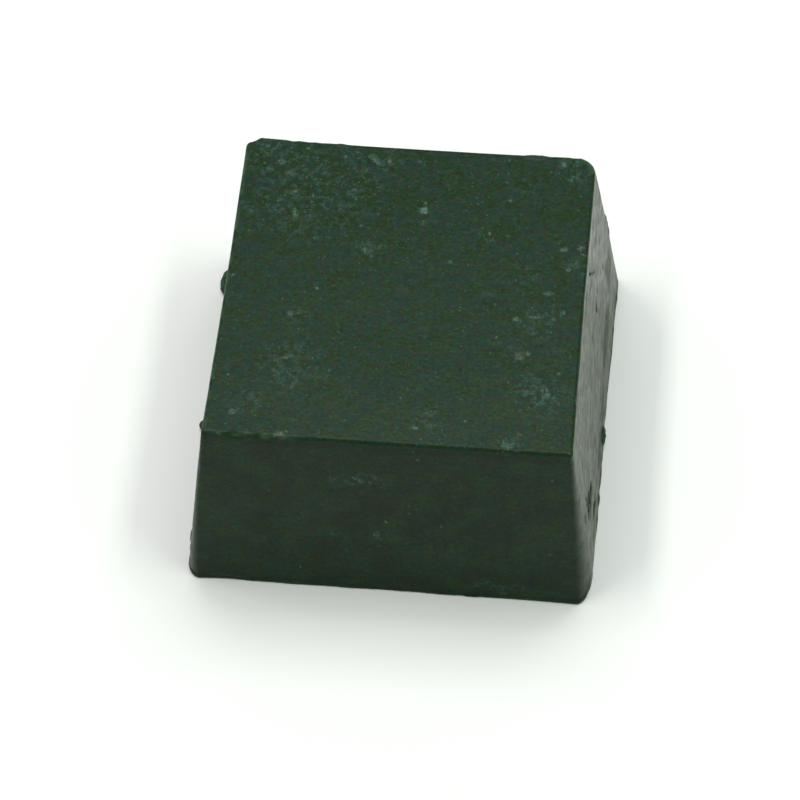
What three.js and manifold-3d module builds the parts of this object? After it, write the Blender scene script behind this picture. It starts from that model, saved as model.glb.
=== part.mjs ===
// A cast block of dark-green wax-bound compound, and the few crumbs that cling to its rim.
// Millimetres. +Z is up, +X is right, +Y is the rear. The origin is the centre of the base, which rests on z = 0.
import * as THREE from 'three';
import { mergeVertices } from 'three/addons/utils/BufferGeometryUtils.js';
import Module from 'manifold-3d';

const wasm = await Module();
wasm.setup();

// Driving dimensions of the casting: a drafted block, narrower at the top.
const HEIGHT = 25;
const BASE = { width: 46.2, depth: 47.2, corner: 1.7 };
const TOP = { width: 40.2, depth: 41.9, corner: 0.9 };
const TOP_EDGE_RADIUS = 0.3;
const RIM_EDGE_RADIUS = 0.25;

// How far the middle of each side has sunk in as the wax cooled.
const SINK = { front: 0.05, right: 0.12, rear: 0.28, left: 0.12 };

// Flash nibs left on the rim, part of the casting: where they are along their side, and their sizes.
const NIBS = [
  { side: 'left', along: 18.0, length: 1.6, proud: 0.4, height: 0.8 },
  { side: 'left', along: 19.7, length: 0.9, proud: 0.3, height: 0.6 },
  { side: 'right', along: -9.2, length: 1.3, proud: 0.25, height: 0.7 },
];

// Loose bits stuck to the foot of a side. Each keeps a small gap to the casting.
const CRUMBS = [
  { name: 'rear_left_flake', side: 'left', along: -18.6, length: 4.4, proud: 1.3, height: 1.2, lumpiness: 0.18 },
  { name: 'left_rim_bead', side: 'left', along: 2.7, length: 1.15, proud: 1.2, height: 1.0, lumpiness: 0.04 },
  { name: 'left_rim_crumb', side: 'left', along: 5.6, length: 0.55, proud: 0.9, height: 0.5, lumpiness: 0.1 },
  { name: 'right_rim_crumb', side: 'right', along: -0.8, length: 2.8, proud: 0.4, height: 2.0, lumpiness: 0.1 },
];
const CRUMB_GAP = 0.05;

// How finely the curved shapes are faceted.
const SIDE_STEPS = 12;
const CORNER_STEPS = 6;
const EDGE_STEPS = 3;
const SIDE_LEVELS = 4;
const LUMP_DETAIL = 2;

// The four sides in order round the block, by the way each faces. "along" runs anticlockwise, seen from above.
const SIDES = {
  front: { out: new THREE.Vector2(0, -1), along: new THREE.Vector2(1, 0) },
  right: { out: new THREE.Vector2(1, 0), along: new THREE.Vector2(0, 1) },
  rear: { out: new THREE.Vector2(0, 1), along: new THREE.Vector2(-1, 0) },
  left: { out: new THREE.Vector2(-1, 0), along: new THREE.Vector2(0, -1) },
};

const { lerp } = THREE.MathUtils;

/** The casting's half sizes and corner radius at height z, drawn in by an inset. */
function sectionAt(z, inset = 0) {
  const t = z / HEIGHT;
  return {
    halfWidth: lerp(BASE.width, TOP.width, t) / 2 - inset,
    halfDepth: lerp(BASE.depth, TOP.depth, t) / 2 - inset,
    corner: lerp(BASE.corner, TOP.corner, t),
  };
}

/** How far a side stands from the centre line, and half its length without the corners. */
function sideOf(name, section) {
  const isAcross = SIDES[name].out.x !== 0;
  return {
    distance: isAcross ? section.halfWidth : section.halfDepth,
    halfLength: (isAcross ? section.halfDepth : section.halfWidth) - section.corner,
  };
}

/** How far a side's surface stands from the centre line at a place along it and a height. */
function surfaceDistance(name, along, z) {
  const { distance, halfLength } = sideOf(name, sectionAt(z));
  const u = THREE.MathUtils.clamp(along / halfLength, -1, 1);
  return distance - SINK[name] * (1 - u * u);
}

/** One closed outline, anticlockwise: four slightly sunken sides joined by round corners. */
function outline(section) {
  const points = [];
  for (const [name, { out, along }] of Object.entries(SIDES)) {
    const { distance, halfLength } = sideOf(name, section);
    for (let i = 0; i <= SIDE_STEPS; i += 1) {
      const u = (2 * i) / SIDE_STEPS - 1;
      const reach = distance - SINK[name] * (1 - u * u);
      points.push(out.clone().multiplyScalar(reach).addScaledVector(along, halfLength * u));
    }
    const centre = out.clone().multiplyScalar(distance - section.corner).addScaledVector(along, halfLength);
    for (let i = 1; i < CORNER_STEPS; i += 1) {
      const angle = (i / CORNER_STEPS) * (Math.PI / 2);
      const spoke = out.clone().multiplyScalar(Math.cos(angle)).addScaledVector(along, Math.sin(angle));
      points.push(centre.clone().addScaledVector(spoke, section.corner));
    }
  }
  return points;
}

/** A ring of the loft: the outline at height z, drawn in by an inset. */
function ring(z, inset) {
  return outline(sectionAt(z, inset)).map((point) => new THREE.Vector3(point.x, point.y, z));
}

/** The rings from the rim of the flat base, up the sides and over the top edge. */
function castingRings() {
  const rings = [];
  for (let i = 0; i <= EDGE_STEPS; i += 1) {
    const angle = (i / EDGE_STEPS) * (Math.PI / 2);
    rings.push(ring(RIM_EDGE_RADIUS * (1 - Math.cos(angle)), RIM_EDGE_RADIUS * (1 - Math.sin(angle))));
  }
  for (let i = 1; i < SIDE_LEVELS; i += 1) {
    rings.push(ring((HEIGHT * i) / SIDE_LEVELS, 0));
  }
  for (let i = 0; i <= EDGE_STEPS; i += 1) {
    const angle = (i / EDGE_STEPS) * (Math.PI / 2);
    rings.push(ring(HEIGHT - TOP_EDGE_RADIUS * (1 - Math.sin(angle)), TOP_EDGE_RADIUS * (1 - Math.cos(angle))));
  }
  return rings;
}

/** A closed surface through rings of equally many points, each end closed by a fan to its centre. */
function loft(rings, firstCentre, lastCentre) {
  const count = rings[0].length;
  const positions = [firstCentre, ...rings.flat(), lastCentre].flatMap((point) => point.toArray());
  const last = rings.length * count + 1;
  const index = [];
  for (let i = 0; i < count; i += 1) {
    const next = (i + 1) % count;
    index.push(0, 1 + next, 1 + i);
    index.push(last, last - count + i, last - count + next);
    for (let level = 0; level < rings.length - 1; level += 1) {
      const low = 1 + level * count;
      const high = low + count;
      index.push(low + i, low + next, high + next);
      index.push(low + i, high + next, high + i);
    }
  }
  const geometry = new THREE.BufferGeometry();
  geometry.setAttribute('position', new THREE.Float32BufferAttribute(positions, 3));
  geometry.setIndex(index);
  return geometry;
}

/** A rounded lump at the foot of a side, flat where it meets the ground; "reach" shapes its inner face. */
function footLump({ side, along, length, height, lumpiness = 0 }, centreDistance, radius, reach) {
  const geometry = new THREE.IcosahedronGeometry(1, LUMP_DETAIL);
  geometry.deleteAttribute('normal');
  geometry.deleteAttribute('uv');
  const merged = mergeVertices(geometry);
  const position = merged.getAttribute('position');
  const frame = SIDES[side];
  const point = new THREE.Vector3();
  for (let i = 0; i < position.count; i += 1) {
    point.fromBufferAttribute(position, i);
    const swell = 1 + lumpiness * Math.sin(5 * point.y + 1) * Math.cos(4 * point.z - point.x);
    const place = along + (length / 2) * point.y * swell;
    const z = Math.max(0, height * (0.42 + 0.58 * point.z * swell));
    const out = reach(centreDistance + radius * point.x * swell, place, z);
    position.setXYZ(i, frame.out.x * out + frame.along.x * place, frame.out.y * out + frame.along.y * place, z);
  }
  return merged;
}

/** Half a lump, sunk well into the casting so that the two join. */
function nibGeometry(nib) {
  const rim = surfaceDistance(nib.side, nib.along, 0);
  return footLump(nib, rim - nib.proud, 2 * nib.proud, (out) => out);
}

/** A separate crumb whose inner face follows the side it clings to, a small gap away. */
function crumbGeometry(crumb) {
  const rim = surfaceDistance(crumb.side, crumb.along, 0);
  const swollenRadius = (0.62 * crumb.proud) / (1 + crumb.lumpiness);
  return footLump(crumb, rim + 0.38 * crumb.proud, swollenRadius, (out, place, z) =>
    Math.max(out, surfaceDistance(crumb.side, place, z) + CRUMB_GAP)
  );
}

/** A closed geometry as a manifold solid, for joining. */
function solidOf(geometry) {
  const vertProperties = new Float32Array(geometry.getAttribute('position').array);
  const triVerts = new Uint32Array(geometry.getIndex().array);
  return new wasm.Manifold(new wasm.Mesh({ numProp: 3, vertProperties, triVerts }));
}

/** A manifold solid as a geometry. */
function geometryOf(solid) {
  const mesh = solid.getMesh();
  const geometry = new THREE.BufferGeometry();
  geometry.setAttribute('position', new THREE.BufferAttribute(mesh.vertProperties, 3));
  geometry.setIndex(new THREE.BufferAttribute(mesh.triVerts, 1));
  return geometry;
}

/** The casting: the drafted block, flat above and below, joined with the flash nibs on its rim. */
function blockGeometry() {
  const base = new THREE.Vector3(0, 0, 0);
  const top = new THREE.Vector3(0, 0, HEIGHT);
  const body = solidOf(loft(castingRings(), base, top));
  return geometryOf(NIBS.reduce((solid, nib) => solid.add(solidOf(nibGeometry(nib))), body));
}

const castCompound = new THREE.MeshStandardMaterial({ color: 0x334436, roughness: 0.55, metalness: 0 });
const brokenCompound = new THREE.MeshStandardMaterial({ color: 0x2c4a34, roughness: 0.75, metalness: 0 });
const brownGrit = new THREE.MeshStandardMaterial({ color: 0x4a2620, roughness: 0.45, metalness: 0 });
const CRUMB_MATERIALS = { left_rim_bead: brownGrit };

/** A named mesh of the group. */
function part(name, geometry, material) {
  geometry.computeVertexNormals();
  const mesh = new THREE.Mesh(geometry, material);
  mesh.name = name;
  return mesh;
}

const compoundBlock = new THREE.Group();
compoundBlock.add(part('cast_block', blockGeometry(), castCompound));
for (const crumb of CRUMBS) {
  compoundBlock.add(part(crumb.name, crumbGeometry(crumb), CRUMB_MATERIALS[crumb.name] ?? brokenCompound));
}

export default compoundBlock;
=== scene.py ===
"""A cast block of dark-green wax-bound compound, with flash on its rim and a few crumbs clinging to it.

Shapes are worked out in millimetres in the part's own frame (+X right, +Y rear, +Z up, origin at the
centre of the base) and scaled to metres when a mesh is made.
"""
import math

import bpy
import numpy as np
from mathutils import Matrix, Vector, noise


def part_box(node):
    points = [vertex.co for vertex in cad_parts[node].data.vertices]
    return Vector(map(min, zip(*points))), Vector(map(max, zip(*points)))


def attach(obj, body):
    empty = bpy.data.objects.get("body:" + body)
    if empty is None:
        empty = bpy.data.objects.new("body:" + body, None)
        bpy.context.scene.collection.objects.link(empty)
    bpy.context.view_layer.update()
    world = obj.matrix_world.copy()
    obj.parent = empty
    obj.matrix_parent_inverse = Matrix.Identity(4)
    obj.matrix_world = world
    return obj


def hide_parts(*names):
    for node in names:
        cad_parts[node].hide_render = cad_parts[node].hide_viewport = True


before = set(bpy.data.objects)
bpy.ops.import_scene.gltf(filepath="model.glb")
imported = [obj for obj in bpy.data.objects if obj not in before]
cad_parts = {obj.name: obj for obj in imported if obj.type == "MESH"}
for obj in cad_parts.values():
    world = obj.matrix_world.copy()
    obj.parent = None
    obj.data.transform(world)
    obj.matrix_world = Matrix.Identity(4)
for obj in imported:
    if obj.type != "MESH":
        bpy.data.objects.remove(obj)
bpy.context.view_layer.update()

MM = 0.001

# The casting's driving sizes, the same as the solid part's. Its height comes from the frame.
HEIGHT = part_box("cast_block")[1].z / MM
BASE_WIDTH, BASE_DEPTH = 46.2, 47.2
TOP_WIDTH, TOP_DEPTH = 40.2, 41.9
TOP_EDGE_RADIUS = 0.3
RIM_EDGE_RADIUS = 0.25

# The sides in order round the block, from the front-left corner: name, the way out, the way along, and
# how far the middle of the side has sunk in.
SIDES = [
    ("front", (0, -1), (1, 0), 0.05),
    ("right", (1, 0), (0, 1), 0.12),
    ("rear", (0, 1), (-1, 0), 0.28),
    ("left", (-1, 0), (0, -1), 0.12),
]
# The corner at the start of each side: how far its rounding reaches back along the side before it and on
# along its own side, at the base and then at the top. Last is how it grows on the way down: evenly at 1,
# mostly just below the top if less, and mostly near the base if more.
CORNERS = [
    ((2.6, 1.5), (0.4, 0.4), 2.0),
    ((1.6, 4.6), (0.4, 0.5), 1.1),
    ((0.8, 0.9), (2.4, 2.5), 0.55),
    ((1.6, 1.6), (1.1, 1.1), 0.55),
]
# The casting is not quite square: how far each of its corners lies along X and Y from its place, at the
# base and at the top, in the same order.
CORNER_SHIFTS = [
    ((0.05, 0.12), (0.0, -0.02)),
    ((-0.25, 0.08), (0.0, 0.24)),
    ((0.05, -0.12), (-0.1, 0.0)),
    ((0.3, 0.0), (0.0, 0.18)),
]

# How finely the casting is meshed: segments along a straight side and in half a corner, rings up a side and
# how they crowd towards its ends, rings round an edge, and how far in the rings of the underside lie.
SIDE_STEPS = 146
HALF_CORNER_STEPS = 7
SIDE_LEVELS = 74
LEVEL_CROWDING = 0.1
EDGE_STEPS = 4
BASE_INSETS = [0.6, 1.2, 2.2, 4, 6.5, 9.5, 13, 17, 20.5]
# Points of the casting below this height lie on the ground.
ON_GROUND = 1e-6


# ---------------------------------------------------------------- noise

def noise_at(points, size, seed):
    """Smooth noise between about -1 and 1, with features of the given size."""
    offset = Vector((seed * 17.3, seed * -9.1, seed * 5.7))
    return np.array([noise.noise(Vector(p) / size + offset) for p in points])


def layered_noise(points, size, seed, layers=3):
    """Noise at a size, half that size and so on, each layer half as strong."""
    return sum(noise_at(points, size / 2**k, seed + k) / 2**k for k in range(layers))


def smooth_step(low, high, x):
    t = np.clip((x - low) / (high - low), 0, 1)
    return t * t * (3 - 2 * t)


def unit(vector):
    vector = np.array(vector, float)
    return vector / np.linalg.norm(vector)


# ---------------------------------------------------------------- the casting's plain form

def section(z):
    """Half width and half depth of the casting at a height."""
    t = z / HEIGHT
    return (
        (BASE_WIDTH + (TOP_WIDTH - BASE_WIDTH) * t) / 2,
        (BASE_DEPTH + (TOP_DEPTH - BASE_DEPTH) * t) / 2,
    )


def corner_reaches(z):
    """How far the rounding of each corner reaches along its two sides, at a height."""
    down = max(0.0, 1 - z / HEIGHT)
    reaches = []
    for base, top, growth in CORNERS:
        base, top = np.array(base), np.array(top)
        reaches.append(top + (base - top) * down**growth)
    return reaches


def outline(z, inset=0.0):
    """The casting's outline at height z, as rows of (x, y) from the middle of the front-left corner."""
    half_width, half_depth = section(z)
    reaches = corner_reaches(z)
    points = []
    for k, (_, out, along, sink) in enumerate(SIDES):
        out, along = np.array(out, float), np.array(along, float)
        distance = (half_width if out[0] else half_depth) - inset
        half_length = (half_depth if out[0] else half_width) - inset
        start_depth, start = np.minimum(reaches[k], half_length / 2)
        end, end_depth = np.minimum(reaches[(k + 1) % 4], half_length / 2)
        for i in range(HALF_CORNER_STEPS):
            angle = math.pi / 4 * (1 - i / HALF_CORNER_STEPS)
            centre = out * (distance - start_depth) - along * (half_length - start)
            points.append(centre + start_depth * out * math.cos(angle) - start * along * math.sin(angle))
        for i in range(SIDE_STEPS):
            place = -half_length + start + (2 * half_length - start - end) * i / SIDE_STEPS
            u = place / half_length
            points.append(out * (distance - sink * (1 - u * u)) + along * place)
        for i in range(HALF_CORNER_STEPS):
            angle = math.pi / 4 * i / HALF_CORNER_STEPS
            centre = out * (distance - end_depth) + along * (half_length - end)
            points.append(centre + end_depth * out * math.cos(angle) + end * along * math.sin(angle))
    return np.array(points)


def ring(z, inset=0.0):
    flat = outline(z, inset)
    return np.column_stack([flat, np.full(len(flat), z)])


def casting_rings():
    """Rings of points from near the middle of the underside, over the rim and up to the top's edge."""
    rings = [ring(0, RIM_EDGE_RADIUS + inset) for inset in reversed(BASE_INSETS)]
    for i in range(EDGE_STEPS + 1):
        angle = math.pi / 2 * i / EDGE_STEPS
        z = RIM_EDGE_RADIUS * (1 - math.cos(angle))
        rings.append(ring(z, RIM_EDGE_RADIUS * (1 - math.sin(angle))))
    low, high = RIM_EDGE_RADIUS, HEIGHT - TOP_EDGE_RADIUS
    for i in range(1, SIDE_LEVELS):
        t = i / SIDE_LEVELS
        crowded = t - LEVEL_CROWDING * math.sin(2 * math.pi * t)
        rings.append(ring(low + (high - low) * crowded))
    for i in range(EDGE_STEPS + 1):
        angle = math.pi / 2 * i / EDGE_STEPS
        z = HEIGHT - TOP_EDGE_RADIUS * (1 - math.sin(angle))
        rings.append(ring(z, TOP_EDGE_RADIUS * (1 - math.cos(angle))))
    return rings


def cap_points(edge, count):
    """The inner points of a square patch whose border is a closed ring of 4 * count points."""
    front, right = edge[: count + 1], edge[count : 2 * count + 1]
    rear = edge[2 * count : 3 * count + 1][::-1]
    left = np.vstack([edge[3 * count :], edge[:1]])[::-1]
    u = np.linspace(0, 1, count + 1)[:, None, None]
    v = np.linspace(0, 1, count + 1)[None, :, None]
    patch = (1 - v) * front[:, None] + v * rear[:, None] + (1 - u) * left[None] + u * right[None]
    patch -= (1 - u) * (1 - v) * front[0] + u * (1 - v) * front[-1]
    patch -= (1 - u) * v * rear[0] + u * v * rear[-1]
    return patch[1:-1, 1:-1].reshape(-1, 3)


def cap_faces(count, ring_start, inner_start):
    """Quads of that patch, anticlockwise seen from the side its ring runs anticlockwise on."""
    index = np.empty((count + 1, count + 1), int)
    index[1:-1, 1:-1] = inner_start + np.arange((count - 1) ** 2).reshape(count - 1, count - 1)
    steps = np.arange(count + 1)
    index[:, 0] = ring_start + steps
    index[-1, :] = ring_start + count + steps
    index[:, -1] = (ring_start + 2 * count + steps)[::-1]
    index[0, :] = (ring_start + (3 * count + steps) % (4 * count))[::-1]
    a, b, c, d = index[:-1, :-1], index[1:, :-1], index[1:, 1:], index[:-1, 1:]
    return np.stack([a, b, c, d], axis=-1).reshape(-1, 4)


def plain_casting():
    """Points and quads of the casting before any wear. The middle of the underside is left open."""
    rings = casting_rings()
    size = len(rings[0])
    steps = np.arange(size)
    after = (steps + 1) % size
    faces = []
    for k in range(len(rings) - 1):
        low, high = k * size, (k + 1) * size
        faces.append(np.column_stack([low + steps, low + after, high + after, high + steps]))
    top_start = len(rings) * size
    faces.append(cap_faces(size // 4, top_start - size, top_start))
    return np.vstack([*rings, cap_points(rings[-1], size // 4)]), np.vstack(faces), size


def point_normals(points, faces):
    """The direction out of a mesh of quads at each of its points."""
    across = points[faces[:, 2]] - points[faces[:, 0]]
    other = points[faces[:, 3]] - points[faces[:, 1]]
    face_normals = np.cross(across, other)
    normals = np.zeros_like(points)
    for k in range(4):
        np.add.at(normals, faces[:, k], face_normals)
    return normals / np.linalg.norm(normals, axis=1, keepdims=True)


# ---------------------------------------------------------------- wear, flash and marks

# How many times its radii away from its middle an oval is taken to have faded.
FADED = 2.5


class Casting:
    """The casting's surface as it wears: its points, and the masks that its material reads."""

    def __init__(self):
        self.points, self.faces, self.ring_size = plain_casting()
        self.cast = self.points.copy()
        self.out = point_normals(self.points, self.faces)
        count = len(self.points)
        self.broken = np.zeros(count)
        self.dusty = np.zeros(count)
        self.scuffed = np.zeros(count)
        self.marked = np.zeros(count)
        self.rubbed_and_highlit = np.zeros(count)

    def nearness(self, middle, radii, ragged, seed):
        """1 at a place on the casting as cast, falling to 0 outside an oval with a ragged outline."""
        away = (self.cast - np.array(middle, float)) / np.array(radii, float)
        distance = np.linalg.norm(away, axis=1)
        near = distance < FADED
        result = np.zeros(len(distance))
        if near.any():
            wobble = 1 + ragged * noise_at(self.cast[near], min(radii) * 1.5, seed)
            result[near] = 1 - smooth_step(0.45, 1.25, distance[near] * wobble)
        return result

    def push(self, middle, radii, distance, direction, ragged, breaks, seed):
        """Moves the skin near a place by a distance, in a direction or else straight out of the surface."""
        strength = self.nearness(middle, radii, ragged, seed)
        way = self.out if direction is None else unit(direction)
        self.points = self.points + (strength * distance)[:, None] * way
        self.broken = np.maximum(self.broken, breaks * strength)

    def shave(self, middle, normal, along, half_length, depth, breaks):
        """Cuts a long shallow scoop off an edge: nothing near the middle is left beyond the cut."""
        normal, along = unit(normal), unit(along)
        away = self.points - np.array(middle, float)
        u = (away @ along) / half_length
        limit = depth * (1 - u * u)
        excess = np.where(np.abs(u) < 1, np.maximum(0, away @ normal + limit), 0)
        self.points = self.points - excess[:, None] * normal
        self.broken = np.maximum(self.broken, breaks * smooth_step(0.02, 0.12, excess))


def skew(casting):
    """Shifts the corners of the casting, and all that lies between them in proportion."""
    x, y, z = casting.cast.T
    right, rear, high = x / BASE_WIDTH + 0.5, y / BASE_DEPTH + 0.5, z / HEIGHT
    shares = [(1 - right) * (1 - rear), right * (1 - rear), right * rear, (1 - right) * rear]
    for share, (base, top) in zip(shares, CORNER_SHIFTS):
        shift = (1 - high)[:, None] * np.array([*base, 0]) + high[:, None] * np.array([*top, 0])
        casting.points = casting.points + share[:, None] * shift


def ripple_skin(casting):
    """The skin is not quite flat: wide shallow waves, finer ones, and faint steps parallel to the rim."""
    waves = 0.04 * noise_at(casting.cast, 11, 1) + 0.012 * layered_noise(casting.cast, 3.2, 4)
    upright = 1 - np.abs(casting.out[:, 2])
    drawn = casting.cast * np.array([0.15, 0.15, 1.0])
    steps = 0.008 * layered_noise(drawn, 3.0, 8, 2) * upright
    on_base = casting.cast[:, 2] < ON_GROUND
    move = np.where(on_base, 0, waves + steps)
    casting.points = casting.points + move[:, None] * casting.out


# How far the right side flares out at the top, and how strong a band of painted shade, with duller skin,
# the other sides carry there.
TOP_FLARE = 0.085
BAND_SHADE_AND_DULLNESS = 0.5


def flare_lips_and_shade_band(casting):
    """The right side flares out a little at the top, where the mould was levelled off. The other sides
    carry a band of painted shade there: darker, duller skin just under the top edge."""
    x, y, z = casting.cast.T
    half_depth = section(HEIGHT)[1]
    facing_right = np.clip(casting.out[:, 0], 0, 1)
    flare = TOP_FLARE * smooth_step(HEIGHT - 1.4, HEIGHT - 0.2, z) * facing_right
    fade = smooth_step(0, 3, half_depth - 1.5 - y)
    casting.points[:, 0] += flare * fade * (0.8 + 0.4 * noise_at(casting.cast, 4, 197))
    band = smooth_step(HEIGHT - 2.4, HEIGHT - 0.9, z) * (1 - np.abs(casting.out[:, 2]))
    elsewhere = 1 - smooth_step(0.3, 0.6, casting.out[:, 0])
    below_edge = z < HEIGHT - 0.2
    # The band is painted shade. It goes into the broken mask, which darkens the colour and roughens the
    # skin.
    casting.broken = np.maximum(casting.broken, BAND_SHADE_AND_DULLNESS * band * elsewhere * below_edge)


def pour_underside(casting):
    """The underside was the mould's open face: it rests on its rim and its middle is slightly uneven."""
    half_width, half_depth = BASE_WIDTH / 2, BASE_DEPTH / 2
    x, y, z = casting.cast.T
    to_rim = np.minimum(half_width - np.abs(x), half_depth - np.abs(y))
    inner = np.where(z < ON_GROUND, smooth_step(0.8, 3.5, to_rim), 0)
    rise = 0.07 + 0.06 * layered_noise(casting.cast, 9, 21)
    casting.points[:, 2] += inner * np.maximum(0, rise)


# Gouges in the right side near its front: their middles, half sizes along X, Y and Z, and depths. Three of
# them make a chain that runs forward and up from the first.
GOUGES = [
    ((22.15, -13.2, 7.3), (0.9, 1.3, 0.8), 0.35),
    ((22.05, -15.7, 8.1), (0.9, 1.1, 0.9), 0.4),
    ((21.8, -16.5, 10.4), (0.8, 0.45, 0.5), 0.2),
    ((21.85, -18.6, 9.9), (0.8, 0.7, 0.6), 0.22),
    ((22.6, -12.6, 3.6), (0.9, 1.1, 0.6), 0.22),
]
# Small pinholes in the sides, where air was trapped against the mould: middles, radii and depths.
PINHOLES = [
    ((21.1, 9.3, 15.6), 0.3, 0.16),
    ((21.2, 7.2, 14.8), 0.42, 0.4),
    ((21.0, 1.6, 16.2), 0.3, 0.14),
    ((22.2, 12.5, 6.6), 0.35, 0.2),
    ((-6.1, -21.6, 16.5), 0.3, 0.15),
    ((-21.6, 5.5, 12.0), 0.38, 0.35),
    ((-20.9, -9.0, 17.5), 0.3, 0.2),
    ((7.0, 22.0, 14.0), 0.4, 0.35),
    ((-12.5, 21.6, 18.0), 0.32, 0.25),
    ((15.0, 22.6, 8.0), 0.3, 0.2),
]


def gouge_sides(casting):
    for k, (middle, radii, depth) in enumerate(GOUGES):
        casting.push(middle, radii, -depth, None, 0.9, 0.5, 60 + k)
    for k, (middle, radius, depth) in enumerate(PINHOLES):
        radii = (0.8, radius, radius) if abs(middle[0]) > 18 else (radius, 0.8, radius)
        casting.push(middle, radii, -depth, None, 0.3, 0.5, 80 + k)
    # A thin curved scratch runs down the right side from just under its top edge.
    for t in np.linspace(-1, 1, 15):
        place = (20.6 + 0.24 * t, 7.6 + 1.7 * t + 0.25 * t * t, 20.7 - 1.9 * t)
        casting.push(place, (0.8, 0.3, 0.3), -0.02, None, 0.2, 0.2, 95)
    # Chips in the left and rear sides, of the kind that handling leaves.
    casting.push((-22.3, 11.0, 6.0), (0.9, 1.0, 0.6), -0.3, None, 0.9, 1.0, 96)
    casting.push((-22.0, 9.2, 7.6), (0.9, 0.5, 0.4), -0.2, None, 0.9, 1.0, 97)
    casting.push((-3.0, 22.7, 5.0), (0.7, 0.9, 0.5), -0.25, None, 0.9, 1.0, 98)


def pit_top(casting):
    """Small dents in the top face, where it was knocked or rubbed, and one short scratch near its rear."""
    random = np.random.default_rng(9)
    for k in range(34):
        x, y = random.uniform(-19, 19), random.uniform(-19.5, 19.5)
        radius = random.uniform(0.35, 0.9)
        stretch = random.uniform(0.7, 1.4)
        depth = random.uniform(0.006, 0.022)
        casting.push((x, y, HEIGHT), (radius, radius * stretch, 1), -depth, None, 0.8, 0.0, 120 + k)
    for t in np.linspace(-1, 1, 7):
        place = (-4.9 + 0.75 * t, 18.4 - 0.55 * t, HEIGHT)
        casting.push(place, (0.35, 0.35, 1), -0.05, None, 0.2, 0, 160)


# How the top edges are nibbled: side, first and last place along it, how many nibbles, and the deepest.
NIBBLES = [
    ("front", -19.5, -8.0, 14, 0.34),
    ("front", -7.0, 19.5, 14, 0.24),
    ("right", -19.0, 20.0, 16, 0.22),
    ("rear", -19.0, 18.0, 14, 0.24),
    ("left", -20.0, 20.0, 20, 0.28),
]


def nibble_top_edges(casting):
    """Takes small scoops off the top edges. A scoop under about 0.12 deep passes outside the rounding."""
    random = np.random.default_rng(7)
    sides = {name: (np.array([*out, 0.0]), np.array([*along, 0.0])) for name, out, along, _ in SIDES}
    half_width, half_depth = section(HEIGHT)
    for name, first, last, count, deepest in NIBBLES:
        out, along = sides[name]
        distance = half_width if out[0] else half_depth
        for _ in range(count):
            place = random.uniform(first, last)
            depth = random.uniform(0.14, deepest)
            lean = random.uniform(0.5, 1.4)
            middle = out * distance + along * place + np.array([0, 0, HEIGHT])
            half_length = random.uniform(0.35, 1.1) * (1 + depth)
            casting.shave(middle, out + np.array([0, 0, lean]), along, half_length, depth, 0.25)


def nibble_arrises(casting):
    """Takes fewer and shallower scoops off the four upright arrises."""
    random = np.random.default_rng(8)
    for corner, (across, back) in enumerate(((-1, -1), (1, -1), (1, 1), (-1, 1))):
        for _ in range(5):
            z = random.uniform(3, 23)
            half_width, half_depth = section(z)
            before, after = corner_reaches(z)[corner]
            across_reach, back_reach = (after, before) if corner in (0, 2) else (before, after)
            way = (across * back_reach, back * across_reach, 0.1)
            # A quarter ellipse passes this far inside its sharp corner, along that way.
            inside = 0.59 * across_reach * back_reach / math.hypot(across_reach, back_reach)
            middle = (across * half_width, back * half_depth, z)
            depth = inside + random.uniform(0.03, 0.12)
            casting.shave(middle, way, (0, 0, 1), random.uniform(1.2, 2.6), depth, 0.4)


def break_arrises(casting):
    """The rear-right arris carries a dull sliver, and the rear-left corner of the top is knocked off."""
    for z in (14.0, 12.9, 11.8, 10.9):
        place = (*[half - 0.3 for half in section(z)], z)
        casting.push(place, (0.9, 0.9, 0.9), 0.2, (1, 1, 0), 0.3, 0.8, 101)
    half_width, half_depth = section(HEIGHT)
    casting.shave((-half_width, half_depth, HEIGHT), (-0.64, 0.77, 0.12), (0, 0, 1), 5.5, 0.82, 0.5)
    beside = (-half_width + 0.5, half_depth, HEIGHT)
    casting.shave(beside, (-0.3, 0.6, 0.75), (0.8, 0.6, 0), 1.6, 0.5, 0.7)


def raise_burrs(casting):
    """Slivers of skin that stand up on the rear top edge."""
    half_depth = section(HEIGHT)[1]
    way = (0, 0.5, 1)
    for x in np.linspace(12.3, 14.0, 6):
        casting.push((x, half_depth - 0.3, HEIGHT), (0.35, 0.4, 0.6), 0.06, way, 0.4, 0.4, 110)
    casting.push((-9.2, half_depth - 0.35, HEIGHT), (0.5, 0.35, 0.6), 0.08, way, 0.4, 0.4, 111)


def raise_rim(casting):
    """A thin lip of flash round the foot of the sides, uneven in how far it stands out."""
    x, y, z = casting.cast.T
    flat_out = casting.out * np.array([1, 1, 0])
    length = np.linalg.norm(flat_out, axis=1, keepdims=True)
    flat_out = np.where(length > 0.3, flat_out / np.maximum(length, 1e-9), 0)
    along_rim = np.column_stack([x, y, np.zeros(len(x))])
    reach = 0.03 + 0.12 * noise_at(along_rim, 3.7, 31) + 0.04 * noise_at(along_rim, 0.9, 32)
    top_of_lip = 0.5 + 0.2 * noise_at(along_rim, 2.3, 33)
    foot = 1 - smooth_step(0, 0.35, z - top_of_lip)
    casting.points = casting.points + (foot * reach)[:, None] * flat_out
    casting.scuffed = np.maximum(casting.scuffed, 0.5 * foot * (z > ON_GROUND))


# Flash nibs on the rim: the middle of each on the rim, how long, tall and proud it is, and the way out.
NIBS = [
    ((-23.1, -18.0, 0.3), 1.6, 0.8, 0.36, (-1, 0, 0)),
    ((-23.1, -19.7, 0.25), 0.9, 0.6, 0.22, (-1, 0, 0)),
    ((23.1, -9.2, 0.3), 1.3, 0.7, 0.1, (1, 0, 0)),
    ((9.5, -23.6, 0.2), 1.4, 0.5, 0.08, (0, -1, 0)),
    ((-7.5, 23.6, 0.3), 2.4, 0.8, 0.3, (0, 1, 0)),
]


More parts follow.
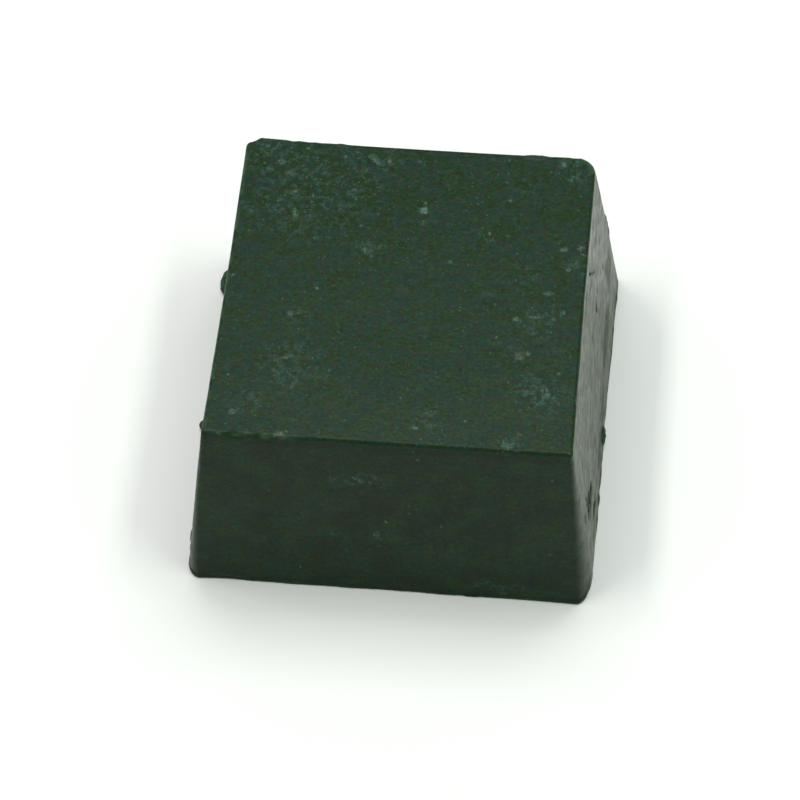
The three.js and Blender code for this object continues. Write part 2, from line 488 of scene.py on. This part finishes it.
def raise_nibs(casting):
    for k, (middle, length, height, proud, way) in enumerate(NIBS):
        side_on = 1.2 if way[0] else length * 0.62
        front_on = length * 0.62 if way[0] else 1.2
        casting.push(middle, (side_on, front_on, height), proud, way, 0.35, 0.7, 40 + k)


# Where dust gathers on the top face: the middle, the radius and how densely.
DUSTY_PATCHES = [
    ((-11.0, 14.0), 11.0, 0.62),
    ((15.0, -8.0), 9.0, 0.25),
    ((-10.0, -12.0), 9.0, 0.25),
    ((-16.8, 18.2), 4.2, 1.0),
    ((-19.3, 10.5), 1.8, 0.6),
    ((-12.5, 9.5), 4.0, 0.4),
    ((-2.8, 18.9), 1.9, 0.9),
    ((-4.6, 5.9), 2.4, 0.9),
    ((1.5, 10.3), 1.6, 0.4),
    ((17.8, 19.0), 2.8, 0.9),
    ((11.8, 16.2), 2.2, 0.4),
    ((8.7, 8.8), 1.8, 0.6),
    ((19.2, 5.0), 2.6, 0.6),
    ((13.5, 3.0), 2.6, 0.45),
    ((15.5, -3.2), 3.4, 0.75),
    ((13.0, -7.8), 2.0, 0.5),
    ((16.0, -13.5), 4.2, 0.8),
    ((-11.5, -11.0), 5.0, 0.6),
    ((-15.8, -16.2), 3.0, 0.6),
    ((-11.0, -4.8), 2.6, 0.4),
    ((4.0, -17.8), 2.8, 0.45),
    ((13.2, -20.0), 1.8, 0.9),
]
# Scuffed stretches of the sides, where the skin is dull: middle and half sizes.
SCUFFS = [
    ((22.3, 9.5, 5.4), (2, 4.5, 2.2)),
    ((22.5, 2.4, 3.9), (2, 3.0, 1.2)),
    ((22.6, -3.2, 2.8), (2, 4.6, 1.3)),
    ((21.9, 18.0, 8.5), (2, 2.4, 2.0)),
    ((-22.2, -4.0, 6.0), (2, 5.0, 2.4)),
    ((6.0, 22.8, 5.5), (5.5, 2, 2.2)),
]


def mark_wear(casting):
    """Fills in where the material shows dust and dull scuffs."""
    x, y, z = casting.cast.T
    on_top = smooth_step(HEIGHT - 0.8, HEIGHT - 0.1, z)
    # A little dust lies everywhere, more of it on the top and most towards the rear.
    dusty = (0.12 + 0.002 * y) * on_top + 0.03
    for (place_x, place_y), radius, density in DUSTY_PATCHES:
        distance = np.hypot(x - place_x, y - place_y) / radius
        dusty = np.maximum(dusty, density * on_top * (1 - smooth_step(0.3, 1.1, distance)))
    casting.dusty = dusty
    for k, (middle, radii) in enumerate(SCUFFS):
        casting.scuffed = np.maximum(casting.scuffed, casting.nearness(middle, radii, 0.5, 170 + k))


# Faint smears of dust on the sides: middle, half sizes and how densely.
SIDE_SMEARS = [
    ((-2.6, -21.6, 18.7), (3.6, 2, 1.3), 1.0),
    ((-0.4, -22.5, 9.5), (1.6, 2, 0.9), 1.0),
    ((12.6, -23.3, 2.2), (3.2, 2, 0.9), 0.9),
    ((-22.0, 3.0, 14.0), (2, 4.5, 2.2), 0.4),
    ((-22.6, -12.0, 5.0), (2, 2.5, 1.5), 0.4),
    ((-8.0, 22.2, 12.0), (4.5, 2, 2.2), 0.4),
    ((11.0, 22.8, 5.0), (3.0, 2, 1.6), 0.5),
    ((21.6, -3.0, 12.0), (2, 3.5, 2.0), 0.2),
]


def smear_sides(casting):
    """Fills in the dust on the sides: faint smears, and slow patches of a little dust everywhere."""
    upright = 1 - np.abs(casting.out[:, 2])
    everywhere = 0.3 * np.maximum(0, noise_at(casting.cast, 6, 180)) * upright
    casting.dusty = np.maximum(casting.dusty, everywhere)
    for k, (middle, radii, density) in enumerate(SIDE_SMEARS):
        casting.dusty = np.maximum(casting.dusty, density * casting.nearness(middle, radii, 0.7, 182 + k))


# Marks that stand out on the top face: the middle, the half sizes, the turn in degrees and how pale.
TOP_MARKS = [
    ((-4.9, 18.4), (0.95, 0.2), -36, 1.0),
    ((-3.3, 18.4), (0.45, 0.2), -45, 0.9),
    ((1.2, 11.6), (0.5, 0.45), 20, 1.0),
    ((-13.4, 10.0), (0.2, 0.5), 20, 0.9),
    ((-13.8, 13.2), (0.55, 0.2), 5, 0.7),
    ((-14.4, 15.8), (0.55, 0.35), -10, 0.5),
    ((16.5, 19.6), (0.45, 0.3), -50, 0.8),
    ((17.3, 7.2), (0.42, 0.26), 20, 0.8),
    ((19.2, 7.6), (0.36, 0.3), 40, 0.7),
    ((16.2, 0.9), (0.6, 0.25), 12, 0.6),
    ((14.8, -2.6), (0.8, 0.16), -3, 0.7),
    ((12.7, -3.0), (0.36, 0.2), 0, 0.9),
    ((17.8, -1.7), (0.3, 0.26), 0, 0.8),
    ((13.5, -8.1), (0.5, 0.5), 0, 0.5),
    ((14.9, -12.9), (0.62, 0.16), -3, 0.7),
    ((16.9, -13.1), (0.2, 0.3), 0, 0.9),
    ((-10.8, -13.7), (0.16, 0.5), -10, 0.7),
    ((-12.1, -10.2), (0.35, 0.16), 0, 0.7),
    ((-17.0, -17.9), (0.36, 0.3), -40, 0.9),
    ((-12.3, -4.2), (0.28, 0.28), 0, 0.9),
    ((2.9, -18.6), (0.42, 0.2), -20, 0.9),
    ((13.1, -20.2), (0.6, 0.35), 0, 0.6),
    ((-11.7, -20.6), (0.55, 0.4), 0, 0.8),
]


def mark_top(casting):
    """Fills in where the standing-out marks of the top face are."""
    x, y, z = casting.cast.T
    wobble = 1 + 0.5 * noise_at(casting.cast, 0.5, 190)
    on_top = smooth_step(HEIGHT - 0.8, HEIGHT - 0.1, z)
    for (place_x, place_y), (half_length, half_width), turn, paleness in TOP_MARKS:
        angle = math.radians(turn)
        along = (x - place_x) * math.cos(angle) + (y - place_y) * math.sin(angle)
        aside = (y - place_y) * math.cos(angle) - (x - place_x) * math.sin(angle)
        distance = np.hypot(along / half_length, aside / half_width) * wobble
        mark = paleness * on_top * (1 - smooth_step(0.5, 1.4, distance))
        casting.marked = np.maximum(casting.marked, mark)


def rub_and_highlight_edges(casting):
    """Fills in where the top edge is rubbed pale and carries a painted highlight along its rounding:
    patchily at the rear, at the left and along the left of the front, and evenly round the rear-right
    corner."""
    x, y, z = casting.cast.T
    half_width, half_depth = section(HEIGHT)
    to_rear_or_left = np.minimum(half_depth - y, half_width + x)
    to_front = half_depth + y + 3 * smooth_step(-9, -4, x)
    to_edge = np.minimum(to_rear_or_left, to_front)
    high = smooth_step(HEIGHT - 0.6, HEIGHT - 0.3, z)
    on_edge = (1 - smooth_step(0.25, 0.6, to_edge)) * high
    patchy = np.clip(0.35 + 1.2 * layered_noise(casting.cast, 1.6, 195), 0, 1)
    reach_y, reach_x = CORNERS[2][1]
    from_bend = np.hypot(x - half_width + reach_x, y - half_depth + reach_y)
    in_corner = (x > half_width - reach_x) & (y > half_depth - reach_y)
    on_bend = in_corner * smooth_step(reach_x - 0.9, reach_x - 0.1, from_bend) * high
    casting.rubbed_and_highlit = np.maximum(on_edge * patchy, on_bend)


def worn_casting():
    casting = Casting()
    skew(casting)
    ripple_skin(casting)
    flare_lips_and_shade_band(casting)
    pour_underside(casting)
    gouge_sides(casting)
    pit_top(casting)
    nibble_top_edges(casting)
    nibble_arrises(casting)
    break_arrises(casting)
    raise_burrs(casting)
    raise_rim(casting)
    raise_nibs(casting)
    mark_wear(casting)
    smear_sides(casting)
    mark_top(casting)
    rub_and_highlight_edges(casting)
    return casting


# ---------------------------------------------------------------- crumbs

# The lowest that any point of a crumb may be, just above the ground.
CRUMB_FLOOR = 0.02


def smooth_path(places, t):
    """A smooth curve through a few places, at fractions t of the way from the first to the last."""
    places = np.array(places, float)
    fit = np.polyfit(np.linspace(0, 1, len(places)), places, len(places) - 1)
    return np.column_stack([np.polyval(fit[:, k], t) for k in range(3)])


def lump(places, widths, squash, rough, seed, rings, spokes):
    """A closed, uneven lump round a path. Its half widths are at even steps along the path, and its half
    height is the half width times the squash."""
    t = (1 - np.cos(np.pi * np.arange(rings + 1) / rings)) / 2
    path = smooth_path(places, t)
    along = np.gradient(path, t, axis=0)
    along /= np.linalg.norm(along, axis=1, keepdims=True)
    level = np.cross(along, (0, 0, 1))
    level /= np.linalg.norm(level, axis=1, keepdims=True)
    upward = np.cross(level, along)
    blunt_ends = np.sqrt(np.maximum(0, 1 - (2 * t - 1) ** 4))
    width = np.interp(t, np.linspace(0, 1, len(widths)), widths) * blunt_ends
    angles = 2 * np.pi * np.arange(spokes) / spokes
    cosine, sine = np.cos(angles)[None, :, None], np.sin(angles)[None, :, None]
    spoke = cosine * level[:, None] + squash * sine * upward[:, None]
    body = (path[:, None] + width[:, None, None] * spoke)[1:-1].reshape(-1, 3)
    outward = spoke[1:-1].reshape(-1, 3)
    size = max(widths)
    swell = layered_noise(body, 1.3 * size, seed, 4) + 0.35 * np.abs(noise_at(body, 0.5 * size, seed + 9))
    local = np.repeat(width[1:-1], spokes)
    body = body + (rough * 2 * local * swell)[:, None] * outward
    points = np.vstack([body, path[:1], path[-1:]])
    points[:, 2] = np.maximum(points[:, 2], CRUMB_FLOOR)
    steps = np.arange(spokes)
    after = (steps + 1) % spokes
    first, last = len(points) - 2, len(points) - 1
    faces = [(first, a, b) for a, b in zip(after, steps)]
    for k in range(rings - 2):
        low, high = k * spokes, (k + 1) * spokes
        faces += [(low + a, low + b, high + b, high + a) for a, b in zip(steps, after)]
    end = (rings - 2) * spokes
    faces += [(last, end + a, end + b) for a, b in zip(steps, after)]
    return points, [tuple(int(i) for i in face) for face in faces]


def rear_left_flake():
    """A long flake with a bent back, uneven in width, near the rear of the left side."""
    places = [
        (-23.25, 20.5, 0.5),
        (-23.53, 19.6, 0.56),
        (-23.68, 18.6, 0.56),
        (-23.63, 17.6, 0.5),
        (-23.3, 16.7, 0.35),
    ]
    widths = [0.45, 0.62, 0.72, 0.65, 0.72, 0.68, 0.6, 0.45]
    return lump(places, widths, squash=0.8, rough=0.1, seed=201, rings=72, spokes=44)


def left_rim_bead():
    """A plump, smooth bead."""
    places = [(-23.47, -2.2, 0.5), (-23.58, -2.7, 0.55), (-23.48, -3.3, 0.45)]
    return lump(places, [0.55, 0.66, 0.54], squash=0.85, rough=0.06, seed=220, rings=40, spokes=32)


def left_rim_crumb():
    """A tiny crumb in front of the bead."""
    places = [(-23.3, -5.4, 0.25), (-23.4, -5.6, 0.27), (-23.3, -5.85, 0.22)]
    return lump(places, [0.38, 0.46, 0.36], squash=0.6, rough=0.1, seed=230, rings=32, spokes=24)


def right_rim_crumb():
    """A thin slab that stands against the foot of the right side, taller than it is thick."""
    places = [(22.55, -2.3, 0.85), (22.68, -1.3, 1.0), (22.68, -0.2, 1.05), (22.55, 0.7, 0.85)]
    widths = [0.2, 0.34, 0.36, 0.3, 0.2]
    return lump(places, widths, squash=2.2, rough=0.14, seed=240, rings=60, spokes=40)


# ---------------------------------------------------------------- making objects

def make_mesh(name, points_mm, faces, masks=None):
    mesh = bpy.data.meshes.new(name)
    mesh.from_pydata((points_mm * MM).tolist(), [], faces)
    mesh.polygons.foreach_set("use_smooth", [True] * len(mesh.polygons))
    for mask, values in (masks or {}).items():
        mesh.attributes.new(mask, "FLOAT", "POINT").data.foreach_set("value", values)
    piece = bpy.data.objects.new(name, mesh)
    bpy.context.scene.collection.objects.link(piece)
    return piece


def make_casting(material):
    casting = worn_casting()
    faces = casting.faces.tolist() + [list(range(casting.ring_size))[::-1]]
    masks = {
        "broken": np.clip(casting.broken, 0, 1),
        "dusty": np.clip(casting.dusty, 0, 1),
        "scuffed": np.clip(casting.scuffed, 0, 1),
        "marked": casting.marked,
        "rubbed_and_highlit": casting.rubbed_and_highlit,
        "upright": 1 - np.abs(casting.out[:, 2]),
    }
    piece = make_mesh("cast_block_surface", casting.points, faces, masks)
    piece.data.materials.append(material)
    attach(piece, "root")
    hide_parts("cast_block")


def make_crumb(node, slot, material, points, faces):
    piece = make_mesh(node + "_surface", points, faces)
    piece.data.materials.append(material)
    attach(piece, "root")
    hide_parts(node)


def make_crumbs(broken, grit):
    """The bits that cling to the foot of the sides, each in the place of its solid."""
    make_crumb("rear_left_flake", "broken_compound", broken, *rear_left_flake())
    make_crumb("left_rim_bead", "brown_grit", grit, *left_rim_bead())
    make_crumb("left_rim_crumb", "broken_compound", broken, *left_rim_crumb())
    make_crumb("right_rim_crumb", "broken_compound", broken, *right_rim_crumb())


# ---------------------------------------------------------------- materials

class Graph:
    """A material's node tree, built by short calls. Sizes are in millimetres."""

    def __init__(self, name):
        self.material = bpy.data.materials.new(name)
        self.material.use_nodes = True
        self.nodes = self.material.node_tree.nodes
        self.links = self.material.node_tree.links
        self.shader = self.nodes["Principled BSDF"]
        place = self.add("TexCoord").outputs["Object"]
        self.place = self.vector("SCALE", place, scale=1 / MM)

    def add(self, kind, **settings):
        node = self.nodes.new("ShaderNode" + kind)
        for name, value in settings.items():
            setattr(node, name, value)
        return node

    def feed(self, socket, value):
        """Links an output to a socket, or sets the socket to a plain value."""
        if isinstance(value, bpy.types.NodeSocket):
            self.links.new(value, socket)
        else:
            socket.default_value = value

    def math(self, operation, *values):
        node = self.add("Math", operation=operation)
        for socket, value in zip(node.inputs, values):
            self.feed(socket, value)
        return node.outputs[0]

    def vector(self, operation, *values, scale=None):
        node = self.add("VectorMath", operation=operation)
        for socket, value in zip(node.inputs, values):
            self.feed(socket, value)
        if scale is not None:
            self.feed(node.inputs["Scale"], scale)
        return node.outputs["Value" if operation == "LENGTH" else "Vector"]

    def noise(self, size, detail, place=None, output="Fac"):
        node = self.add("TexNoise")
        self.feed(node.inputs["Vector"], place or self.place)
        node.inputs["Scale"].default_value = 1 / size
        node.inputs["Detail"].default_value = detail
        return node.outputs[output]

    def ramp(self, value, low, high, low_result=0.0, high_result=1.0):
        """A smooth rise from one result to another as the value goes from low to high."""
        node = self.add("MapRange", interpolation_type="SMOOTHSTEP")
        names = ("Value", "From Min", "From Max", "To Min", "To Max")
        for name, given in zip(names, (value, low, high, low_result, high_result)):
            self.feed(node.inputs[name], given)
        return node.outputs["Result"]

    def mix(self, amount, first, second):
        """A colour between two."""
        node = self.add("Mix", data_type="RGBA")
        self.feed(node.inputs["Factor"], amount)
        self.feed(node.inputs[6], first)
        self.feed(node.inputs[7], second)
        return node.outputs[2]

    def mottle(self, colour, size, detail, strength):
        """Makes each channel of a colour a little lighter here and darker there, by its own noise."""
        wobble = self.vector("SUBTRACT", self.noise(size, detail, None, "Color"), (0.5, 0.5, 0.5))
        factor = self.vector("MULTIPLY_ADD", wobble, (strength, strength, strength), (1.0, 1.0, 1.0))
        return self.vector("MULTIPLY", colour, factor)

    def mask(self, name):
        return self.add("Attribute", attribute_name=name).outputs["Fac"]

    def shaken(self, size, amount, seed):
        """The place, pushed about by noise, which makes round shapes ragged."""
        shifted = self.vector("ADD", self.place, (seed, -seed, seed))
        wobble = self.vector("SUBTRACT", self.noise(size, 2.0, shifted, "Color"), (0.5, 0.5, 0.5))
        return self.vector("ADD", self.place, self.vector("SCALE", wobble, scale=2 * amount))

    def bump(self, height_mm):
        node = self.add("Bump")
        node.inputs["Strength"].default_value = 1.0
        node.inputs["Distance"].default_value = MM
        self.feed(node.inputs["Height"], height_mm)
        self.feed(self.shader.inputs["Normal"], node.outputs["Normal"])


def flecks(graph, cell, largest, density, seed):
    """Scattered specks, at most one in each cell, as often as the density says, and how pale they are."""
    place = graph.vector("ADD", graph.shaken(cell * 0.4, largest * 0.9, seed), (seed, seed, 0.0))
    node = graph.add("TexVoronoi")
    graph.feed(node.inputs["Vector"], place)
    node.inputs["Scale"].default_value = 1 / cell
    chance = graph.add("SeparateColor")
    graph.feed(chance.inputs[0], node.outputs["Color"])
    shown = graph.math("LESS_THAN", chance.outputs[0], density)
    radius = graph.math("MULTIPLY_ADD", chance.outputs[1], 0.75 * largest / cell, 0.25 * largest / cell)
    body = graph.ramp(node.outputs["Distance"], radius, graph.math("MULTIPLY", radius, 0.25))
    squared = graph.math("MULTIPLY", chance.outputs[2], chance.outputs[2])
    paleness = graph.math("MULTIPLY_ADD", squared, 0.8, 0.2)
    return graph.math("MULTIPLY", graph.math("MULTIPLY", body, shown), paleness)


# Dark pits and scars on the right side: the middle, the half sizes along Y and Z before the turn, the turn
# in degrees about X, and how dark.
SIDE_MARKS = [
    ((20.45, 6.7, 21.7), (1.6, 0.16), -48, 1.0),
    ((20.72, 8.6, 19.5), (1.4, 0.14), -40, 0.9),
    ((21.14, 9.2, 15.55), (0.24, 0.55), 0, 0.9),
    ((21.24, 7.3, 14.7), (0.34, 0.7), 0, 1.0),
    ((22.2, -13.1, 7.2), (1.35, 0.75), 12, 0.9),
    ((22.05, -15.6, 8.1), (1.15, 1.0), 25, 1.0),
    ((21.95, -14.6, 9.2), (0.4, 0.55), 0, 0.6),
    ((21.76, -16.5, 10.4), (0.4, 0.5), 0, 0.7),
    ((21.85, -18.6, 9.9), (0.9, 0.35), 20, 0.7),
    ((22.6, -12.6, 3.7), (1.0, 0.5), 15, 0.7),
    ((22.75, -15.0, 2.4), (1.6, 0.3), 8, 0.6),
    ((20.9, -6.0, 17.5), (0.4, 0.5), 0, 0.4),
    ((21.6, 15.0, 12.5), (0.4, 0.7), 0, 0.4),
]


# Marks whose half sizes are both more than this are broad scars with ragged outlines.
BROAD_MARK = 0.35
# How deep a mark reaches into the side, so that it lies on the skin wherever the skin is.
MARK_REACH = 3.0


def side_marks(graph):
    """How dark the pits and scars of the right side are."""
    shaken = graph.shaken(0.5, 0.3, 9.0)
    ragged = graph.shaken(0.8, 1.1, 9.0)
    total = None
    for middle, half_sizes, turn, darkness in SIDE_MARKS:
        node = graph.add("Mapping", vector_type="TEXTURE")
        graph.feed(node.inputs["Vector"], ragged if min(half_sizes) > BROAD_MARK else shaken)
        node.inputs["Location"].default_value = middle
        node.inputs["Rotation"].default_value = (math.radians(turn), 0, 0)
        node.inputs["Scale"].default_value = (MARK_REACH, *half_sizes)
        mark = graph.ramp(graph.vector("LENGTH", node.outputs[0]), 1.2, 0.6, 0.0, darkness)
        total = mark if total is None else graph.math("MAXIMUM", total, mark)
    return total


def skin_colour(graph, upright):
    """Dark green mottled with teal and grey-brown. The sides are darker than the top, more in some slow
    patches than in others."""
    patches = graph.noise(1.6, 3.0)
    spots = graph.noise(0.8, 3.0, graph.vector("ADD", graph.place, (31.0, 7.0, 3.0)))
    green, teal = (0.0092, 0.0325, 0.008, 1), (0.0056, 0.0295, 0.0168, 1)
    colour = graph.mix(graph.ramp(patches, 0.4, 0.6), green, teal)
    colour = graph.mix(graph.ramp(spots, 0.46, 0.64, 0.0, 0.8), colour, (0.016, 0.0235, 0.011, 1))
    colour = graph.mottle(colour, 0.45, 3.0, 1.8)
    colour = graph.mottle(colour, 0.18, 2.0, 1.6)
    side_darkening = graph.math("MULTIPLY", upright, graph.ramp(graph.noise(3.5, 4.0), 0.35, 0.65, 0.02, 0.46))
    return graph.mix(side_darkening, colour, (0.003, 0.006, 0.004, 1))


def dust_haze(graph, dusty):
    """How thick the finest dust lies, in clouds broken up by grains."""
    clouds = graph.math("MULTIPLY", dusty, graph.ramp(graph.noise(0.8, 5.0), 0.45, 0.66))
    return graph.math("MULTIPLY", clouds, graph.ramp(graph.noise(0.22, 2.0), 0.4, 0.62, 0.12, 1.15))


def dust_flecks(graph, dusty, marked):
    """How pale the flecks of three sizes and the marks that stand out are. All of them crumble."""
    large = flecks(graph, 1.2, 0.36, dusty, 11.0)
    small = flecks(graph, 0.65, 0.24, dusty, 23.0)
    specks = flecks(graph, 0.38, 0.15, graph.math("MULTIPLY", dusty, 1.3), 37.0)
    crumbling = graph.noise(0.24, 3.0)
    pale = graph.math("MAXIMUM", graph.math("MAXIMUM", large, small), specks)
    pale = graph.math("MULTIPLY", pale, graph.ramp(crumbling, 0.4, 0.58))
    marks = graph.math("MULTIPLY", marked, graph.ramp(crumbling, 0.38, 0.56, 0.15, 1.0))
    return graph.math("MAXIMUM", pale, marks)


def cast_compound():
    """The waxy skin: mottled green, dust, dull breaks, a band of painted shade under the top edge, rubbed
    edges with a painted highlight, scars, and streaks drawn along it.
    """
    graph = Graph("cast_compound")
    broken, dusty, scuffed = map(graph.mask, ("broken", "dusty", "scuffed"))
    marked, rubbed_and_highlit, upright = map(graph.mask, ("marked", "rubbed_and_highlit", "upright"))

    colour = skin_colour(graph, upright)
    haze = graph.math("MULTIPLY", dust_haze(graph, dusty), 0.45)
    colour = graph.mix(haze, colour, (0.08, 0.17, 0.14, 1))
    # Darker green where the skin is broken, and along the band under the top edge, where this dark is
    # painted shade.
    colour = graph.mix(graph.math("MULTIPLY", broken, 0.8), colour, (0.005, 0.017, 0.008, 1))
    # Pale green along the top edges: rubbed wear, and a painted highlight along their rounding.
    colour = graph.mix(graph.math("MULTIPLY", rubbed_and_highlit, 0.5), colour, (0.06, 0.12, 0.07, 1))
    pale = dust_flecks(graph, dusty, marked)
    greenish, greyish = (0.09, 0.175, 0.14, 1), (0.125, 0.15, 0.105, 1)
    dust_tint = graph.mix(graph.ramp(graph.noise(1.7, 0.0), 0.56, 0.66), greenish, greyish)
    colour = graph.mix(pale, colour, dust_tint)
    drawn = graph.vector("MULTIPLY", graph.place, (0.2, 0.2, 1.0))
    streaks = graph.math("MULTIPLY", graph.noise(3.0, 2.0, drawn), upright)
    lines = graph.math("MULTIPLY", graph.ramp(graph.noise(0.9, 3.0, drawn), 0.56, 0.7, 0.0, 0.3), upright)
    scars = graph.math("MAXIMUM", side_marks(graph), lines)
    grains = graph.noise(0.3, 3.0)
    dark_grain, light_grain = (0.005, 0.018, 0.008, 1), (0.02, 0.055, 0.03, 1)
    colour = graph.mix(scars, colour, graph.mix(graph.ramp(grains, 0.5, 0.66), dark_grain, light_grain))
    graph.feed(graph.shader.inputs["Base Color"], colour)

    roughness = graph.ramp(graph.noise(1.6, 4.0), 0.3, 0.7, 0.24, 0.36)
    for amount, rougher in ((streaks, 0.03), (scuffed, 0.16), (broken, 0.3), (pale, 0.25), (scars, 0.5)):
        roughness = graph.math("MULTIPLY_ADD", amount, rougher, roughness)
    graph.feed(graph.shader.inputs["Roughness"], roughness)
    graph.shader.inputs["IOR"].default_value = 1.215
    graph.shader.inputs["Sheen Weight"].default_value = 0.022
    graph.shader.inputs["Sheen Tint"].default_value = (0.85, 1.0, 0.2, 1)

    height = graph.math("MULTIPLY", graph.noise(0.4, 4.0), 0.02)
    torn = graph.math("MULTIPLY", scars, grains)
    crumbly = graph.math("MULTIPLY", broken, graph.noise(0.35, 3.0))
    for amount, rise in ((streaks, 0.007), (pale, 0.012), (scars, -0.12), (torn, 0.3), (crumbly, 0.12)):
        height = graph.math("MULTIPLY_ADD", amount, rise, height)
    graph.bump(height)
    return graph.material


def broken_compound():
    """Freshly broken compound: a matte green crumb with lighter grains."""
    graph = Graph("broken_compound")
    lumps = graph.noise(0.5, 3.0)
    grains = graph.noise(0.14, 2.0)
    colour = graph.mix(graph.ramp(lumps, 0.35, 0.65), (0.012, 0.03, 0.017, 1), (0.03, 0.08, 0.045, 1))
    colour = graph.mix(graph.ramp(grains, 0.55, 0.7, 0.0, 0.5), colour, (0.05, 0.12, 0.075, 1))
    graph.feed(graph.shader.inputs["Base Color"], colour)
    graph.feed(graph.shader.inputs["Roughness"], graph.ramp(grains, 0.3, 0.7, 0.65, 0.85))
    graph.shader.inputs["IOR"].default_value = 1.3
    graph.bump(graph.math("MULTIPLY", grains, 0.05))
    return graph.material


def brown_grit():
    """A bead of red-brown grit, a little glossy."""
    graph = Graph("brown_grit")
    spots = graph.noise(0.3, 3.0)
    colour = graph.mix(graph.ramp(spots, 0.35, 0.65), (0.016, 0.006, 0.004, 1), (0.07, 0.013, 0.01, 1))
    graph.feed(graph.shader.inputs["Base Color"], colour)
    graph.feed(graph.shader.inputs["Roughness"], graph.ramp(spots, 0.3, 0.7, 0.35, 0.55))
    graph.shader.inputs["IOR"].default_value = 1.45
    graph.bump(graph.math("MULTIPLY", graph.noise(0.12, 2.0), 0.03))
    return graph.material


# ---------------------------------------------------------------- studio

CAMERA_AZIMUTH = 7.1
CAMERA_ELEVATION = 53.9
CAMERA_ROLL = -1.96
CAMERA_DISTANCE = 0.4225
CAMERA_TARGET = (-0.0013, 0.0032, 0.0)
SENSOR_WIDTH = 36.0
LENS = 162.1

FLOOR_COLOUR = (0.92, 0.95, 0.925)
FLOOR_REACH = 0.9
PANEL_HEIGHT = 2.5


def make_camera():
    """A long lens looking down at the block, a little from the right of its front."""
    azimuth, elevation, roll = map(math.radians, (CAMERA_AZIMUTH, CAMERA_ELEVATION, CAMERA_ROLL))
    level_reach = math.cos(elevation)
    back = Vector(
        (math.sin(azimuth) * level_reach, -math.cos(azimuth) * level_reach, math.sin(elevation))
    )
    level = Vector((0, 0, 1)).cross(back).normalized()
    upright = back.cross(level)
    across = level * math.cos(roll) + upright * math.sin(roll)
    upward = upright * math.cos(roll) - level * math.sin(roll)
    data = bpy.data.cameras.new("camera")
    data.lens = LENS
    data.sensor_width = SENSOR_WIDTH
    data.clip_start = 0.01
    data.clip_end = 50
    camera = bpy.data.objects.new("camera", data)
    turn = Matrix((across, upward, back)).transposed().to_4x4()
    camera.matrix_world = Matrix.Translation(Vector(CAMERA_TARGET) + back * CAMERA_DISTANCE) @ turn
    bpy.context.scene.collection.objects.link(camera)
    bpy.context.scene.camera = camera


def make_floor():
    mesh = bpy.data.meshes.new("floor")
    reach = FLOOR_REACH
    corners = [(-reach, -reach, 0), (reach, -reach, 0), (reach, reach, 0), (-reach, reach, 0)]
    mesh.from_pydata(corners, [], [(0, 1, 2, 3)])
    floor = bpy.data.objects.new("floor", mesh)
    bpy.context.scene.collection.objects.link(floor)
    material = bpy.data.materials.new("floor")
    material.use_nodes = True
    shader = material.node_tree.nodes["Principled BSDF"]
    shader.inputs["Base Color"].default_value = (*FLOOR_COLOUR, 1)
    shader.inputs["Roughness"].default_value = 0.9
    shader.inputs["Specular IOR Level"].default_value = 0.0
    mesh.materials.append(material)


# The light panels overhead: name, lean, half size, share and tint. The lean is how far a panel stands to
# the right and to the rear. It and the half size are for each metre of height. The share is how bright the
# panel makes the floor.
PANELS = [
    ("right_panel", (0.453, 0.0), (0.07, 0.25), 0.22, (0.92, 1, 0.93)),
    ("left_panel", (-0.388, 0.02), (0.06, 0.26), 0.285, (1, 0.98, 0.96)),
    ("rear_panel", (0.044, 0.445), (0.38, 0.21), 0.36, (1, 1, 1)),
]


def make_panel(name, lean, half_size, share, tint):
    data = bpy.data.lights.new(name, "AREA")
    data.shape = "RECTANGLE"
    data.size = 2 * half_size[0] * PANEL_HEIGHT
    data.size_y = 2 * half_size[1] * PANEL_HEIGHT
    falloff = (1 + lean[0] ** 2 + lean[1] ** 2) ** 2
    data.energy = share * math.pi**2 * PANEL_HEIGHT**2 * falloff / FLOOR_COLOUR[1]
    data.color = tint
    panel = bpy.data.objects.new(name, data)
    panel.location = (lean[0] * PANEL_HEIGHT, lean[1] * PANEL_HEIGHT, PANEL_HEIGHT)
    bpy.context.scene.collection.objects.link(panel)


def make_surroundings():
    """A pale tent: bright near the horizon and dimmer overhead."""
    world = bpy.data.worlds.new("tent")
    world.use_nodes = True
    nodes = world.node_tree.nodes
    links = world.node_tree.links
    direction = nodes.new("ShaderNodeTexCoord")
    parts = nodes.new("ShaderNodeSeparateXYZ")
    fade = nodes.new("ShaderNodeMapRange")
    fade.interpolation_type = "SMOOTHSTEP"
    for name, value in (("From Min", 0.05), ("From Max", 0.4), ("To Min", 0.85), ("To Max", 0.24)):
        fade.inputs[name].default_value = value
    links.new(direction.outputs["Generated"], parts.inputs[0])
    links.new(parts.outputs["Z"], fade.inputs["Value"])
    links.new(fade.outputs["Result"], nodes["Background"].inputs["Strength"])
    nodes["Background"].inputs["Color"].default_value = (1, 1, 1, 1)
    bpy.context.scene.world = world


def make_lights():
    make_surroundings()
    for panel in PANELS:
        make_panel(*panel)


def build():
    make_camera()
    make_floor()
    make_lights()
    bpy.context.scene.view_settings.view_transform = "Standard"
    make_casting(cast_compound())
    make_crumbs(broken_compound(), brown_grit())


build()
bpy.context.view_layer.update()
